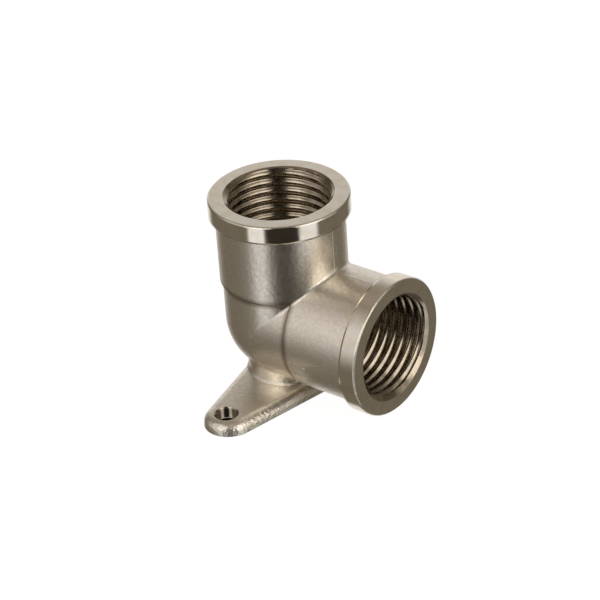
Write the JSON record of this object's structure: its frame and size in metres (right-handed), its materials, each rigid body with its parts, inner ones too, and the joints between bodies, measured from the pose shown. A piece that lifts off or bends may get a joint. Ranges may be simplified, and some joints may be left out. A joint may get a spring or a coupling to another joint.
{
  "type": "wall plate elbow",
  "caption": "Nickel-plated brass pipe elbow with two female threaded ports at a right angle on a flat wall plate with screw lugs.",
  "frame": {"origin": "centre of the wall plate's back face, in line with the upright port", "axes": "+Z out of the wall along the upright port, +X along the level port, screw lugs along Y"},
  "size_m": [0.0381, 0.0474, 0.0395],
  "materials": {
    "nickel_plated_brass": "satin nickel plate over blasted brass, turned bright on the collars, faces and threads"
  },
  "bodies": {
    "root": {"elbow_body": "nickel_plated_brass"}
  },
  "joints": []
}
